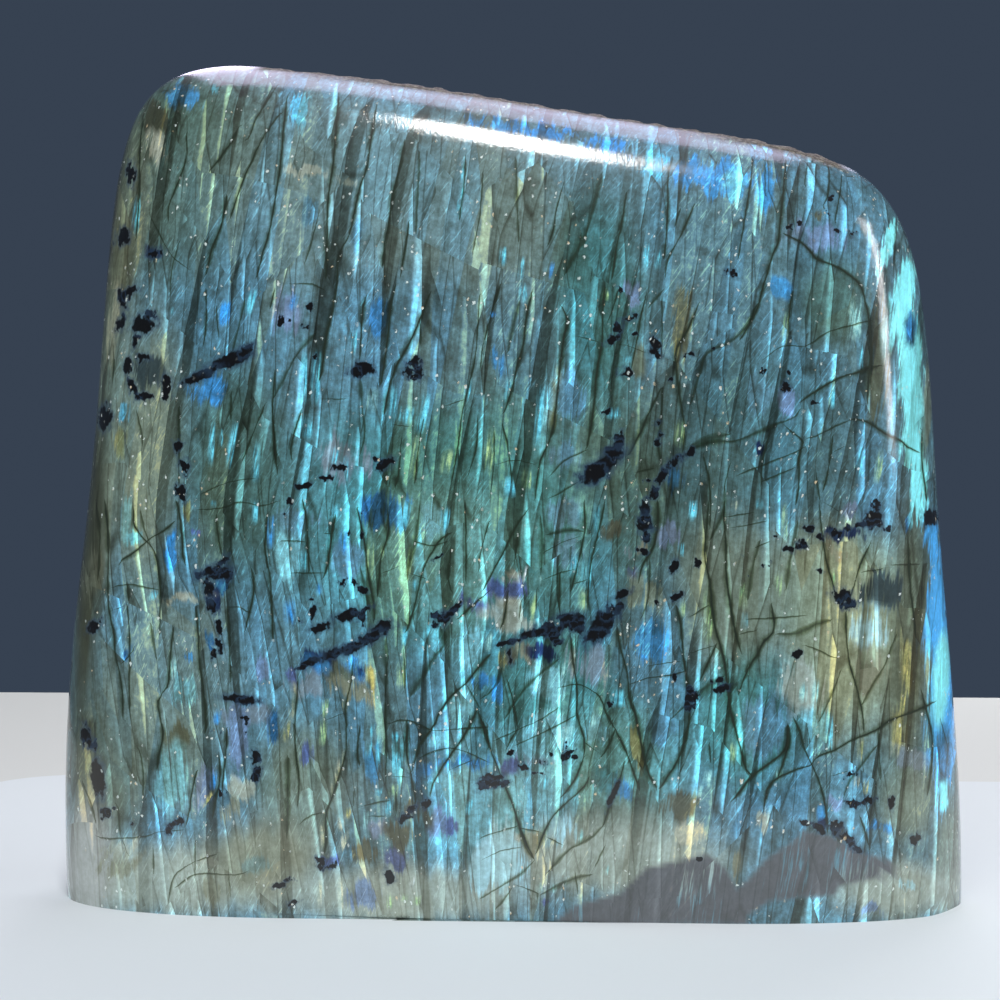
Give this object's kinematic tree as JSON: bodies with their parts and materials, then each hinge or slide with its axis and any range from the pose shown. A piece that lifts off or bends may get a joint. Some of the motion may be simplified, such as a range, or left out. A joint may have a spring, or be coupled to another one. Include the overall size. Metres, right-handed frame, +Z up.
{
  "type": "labradorite freeform",
  "caption": "Upright polished labradorite freeform with rounded edges, a slanting top, a raw strip along its crest and a flat sawn base.",
  "frame": {"origin": "on the sawn base, below the stone's middle", "axes": "+Z up from the base, +X along the stone's width with the high corner at -X, and the front face towards -Y"},
  "size_m": [0.1516, 0.0466, 0.1409],
  "materials": {
    "labradorite": "polished feldspar: grey-green body with steel blue, teal and gold flashes in upright plates, dark cracks and small black inclusions; a rough brown strip along the crest"
  },
  "bodies": {
    "root": {"stone": "labradorite"}
  },
  "joints": []
}
